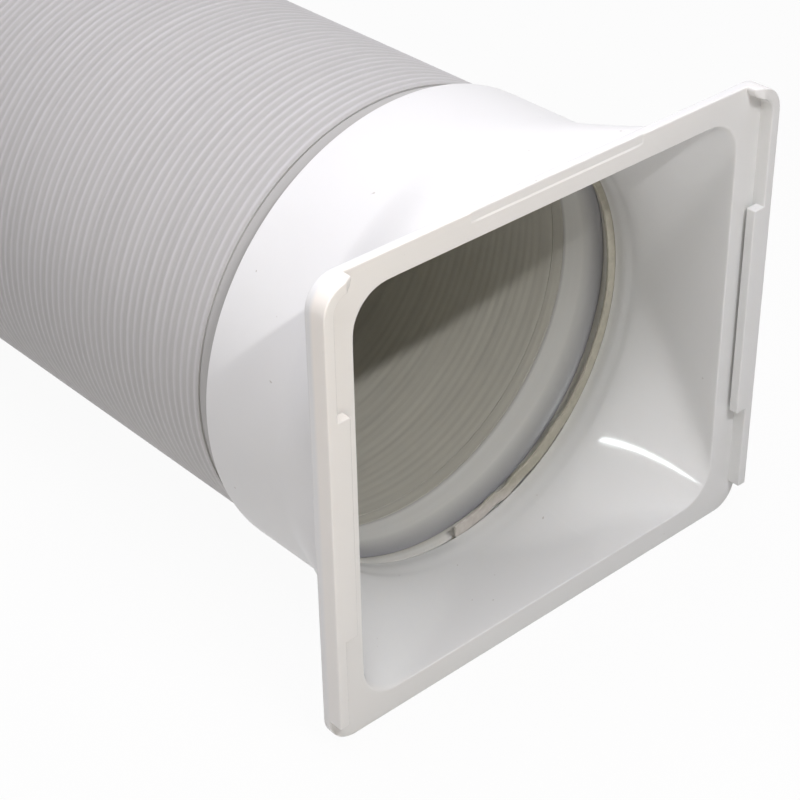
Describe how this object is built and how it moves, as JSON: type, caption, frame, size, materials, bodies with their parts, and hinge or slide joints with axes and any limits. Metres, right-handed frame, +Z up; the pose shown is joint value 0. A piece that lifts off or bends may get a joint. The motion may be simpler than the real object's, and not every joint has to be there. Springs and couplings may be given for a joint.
{
  "type": "flexible air duct",
  "caption": "Flexible ribbed air duct pushed together, its smooth cuff seated in a moulded adapter that turns from a round collar to a rectangular flanged mouth with side rails.",
  "frame": {"origin": "centre of the adapter's rectangular mouth, in the plane of its flange face", "axes": "+Y along the duct away from the mouth, +Z up, +X to the right when looking along +Y into the mouth"},
  "size_m": [0.174, 0.5155, 0.1542],
  "materials": {
    "adapter_white": "moulded white plastic with a soft gloss",
    "tan_strip": "dull tan foam strip",
    "duct_grey": "light grey ribbed plastic, satin",
    "liner_grey": "smooth grey plastic, satin"
  },
  "bodies": {
    "adapter": {"adapter_shell": "adapter_white", "sealing_strip": "tan_strip"},
    "inlet": {"near_cuff": "duct_grey", "cuff_liner": "liner_grey", "hose_near": "duct_grey"},
    "first_ring": {"hose_ring_1": "duct_grey", "hose_bend_1": "duct_grey"},
    "second_ring": {"hose_ring_2": "duct_grey", "hose_bend_2": "duct_grey"},
    "third_ring": {"hose_ring_3": "duct_grey", "hose_bend_3": "duct_grey"},
    "fourth_ring": {"hose_ring_4": "duct_grey", "hose_far": "duct_grey"},
    "outlet": {"far_cuff": "duct_grey"}
  },
  "joints": [
    {"name": "duct_swivel", "type": "hinge", "parent": "adapter", "child": "inlet", "pos_m": [0, 0.055, 0], "axis": [0, 1, 0], "range_deg": [-180, 180]},
    {"name": "near_stretch", "type": "slide", "parent": "inlet", "child": "first_ring", "axis": [0, 1, 0], "range_m": [0, 0.17], "deforming": ["hose_near"]},
    {"name": "duct_bend_1", "type": "hinge", "parent": "first_ring", "child": "second_ring", "pos_m": [0, 0.2119, 0.077], "axis": [1, 0, 0], "range_deg": [0, 30], "deforming": ["hose_bend_1"]},
    {"name": "duct_bend_2", "type": "hinge", "parent": "second_ring", "child": "third_ring", "pos_m": [0, 0.2647, 0.077], "axis": [1, 0, 0], "range_deg": [0, 30], "deforming": ["hose_bend_2"]},
    {"name": "duct_bend_3", "type": "hinge", "parent": "third_ring", "child": "fourth_ring", "pos_m": [0, 0.3175, 0.077], "axis": [1, 0, 0], "range_deg": [0, 30], "deforming": ["hose_bend_3"]},
    {"name": "far_stretch", "type": "slide", "parent": "fourth_ring", "child": "outlet", "axis": [0, 1, 0], "range_m": [0, 0.18], "deforming": ["hose_far"]}
  ],
  "couplings": [
    {"joint": "duct_bend_2", "follows": "duct_bend_1", "ratio": 1},
    {"joint": "duct_bend_3", "follows": "duct_bend_1", "ratio": 1},
    {"joint": "far_stretch", "follows": "near_stretch", "ratio": 1.0588}
  ]
}
